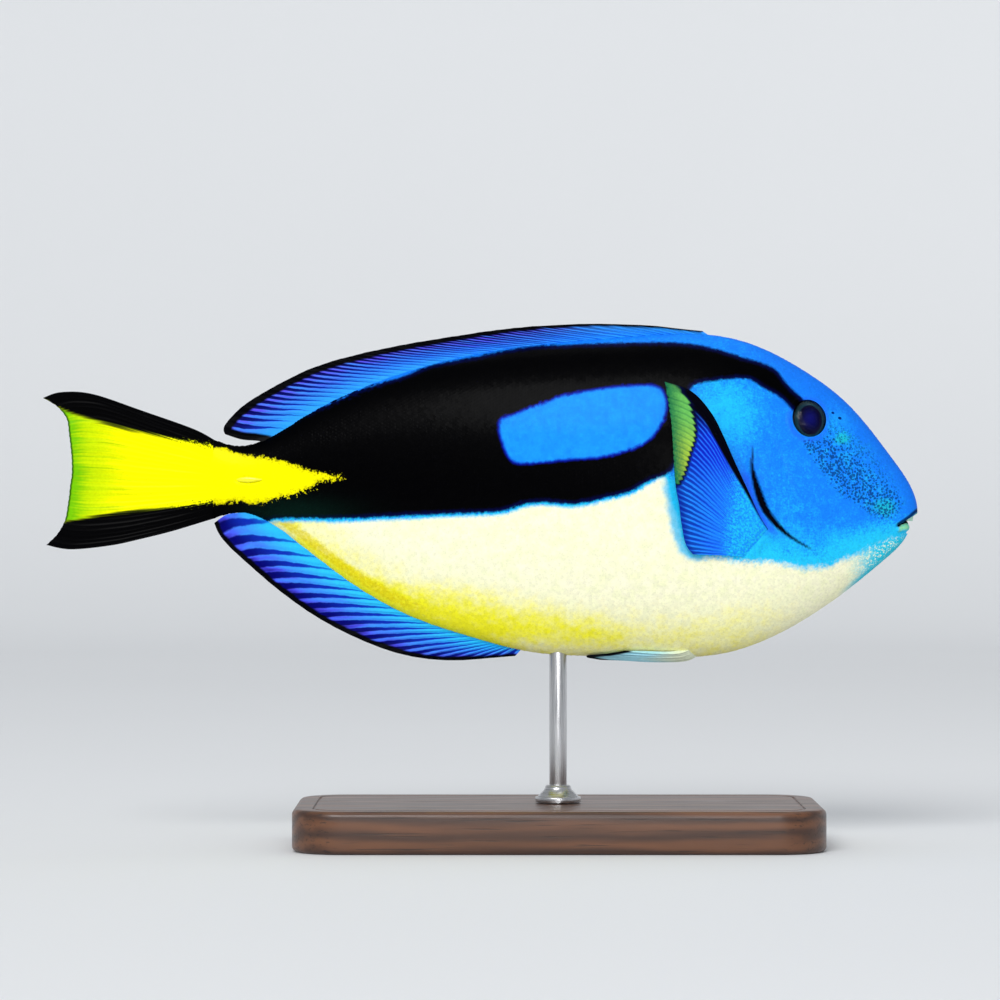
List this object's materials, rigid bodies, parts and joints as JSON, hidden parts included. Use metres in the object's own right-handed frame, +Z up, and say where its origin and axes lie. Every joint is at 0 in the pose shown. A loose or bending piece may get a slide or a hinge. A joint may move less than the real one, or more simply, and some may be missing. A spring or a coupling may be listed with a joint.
{
  "type": "regal blue tang model",
  "caption": "Life-size regal blue tang, the yellow-bellied form, swimming with its breast fins raised, on a rod and a flat wooden base.",
  "frame": {"origin": "on the surface that the stand rests on, under the middle of the fish's length", "axes": "+X along the fish towards its snout, +Y out of its left side, +Z up"},
  "size_m": [0.25, 0.072, 0.1489],
  "materials": {
    "head_skin": "moist fish skin, bright blue with small dark spots, satin gloss",
    "flank_skin": "moist scaled skin, black with a blue oval above and a cream and yellow belly below, satin gloss",
    "tail_skin": "moist scaled skin, clear yellow between black edges, satin gloss",
    "fin_blue": "thin rayed membrane, blue with navy streaks and a black margin",
    "fin_yellow": "thin rayed membrane, yellow between black lobes",
    "fin_pale": "thin rayed membrane, pale cyan with a black tip",
    "eye": "clear wet cornea over a large navy pupil and a thin dark iris",
    "teeth": "polished ivory",
    "tail_spine": "smooth bone under a yellow sheath",
    "stand_wood": "dark walnut, fine grain, satin lacquer",
    "stand_metal": "brushed along the rod"
  },
  "bodies": {
    "root": {"head": "head_skin", "lower_jaw": "head_skin", "upper_teeth": "teeth", "gill_cover_left": "head_skin", "gill_cover_right": "head_skin", "eye_left": "eye", "eye_right": "eye", "torso": "flank_skin", "tail_stem": "tail_skin", "tail_spine_left": "tail_spine", "tail_spine_right": "tail_spine", "dorsal_fin": "fin_blue", "anal_fin": "fin_blue", "tail_fin": "fin_yellow", "pectoral_fin_left": "fin_blue", "pectoral_fin_right": "fin_blue", "pelvic_fin_left": "fin_pale", "pelvic_fin_right": "fin_pale", "stand_base": "stand_wood", "stand_collar": "stand_metal", "stand_rod": "stand_metal"}
  },
  "joints": []
}
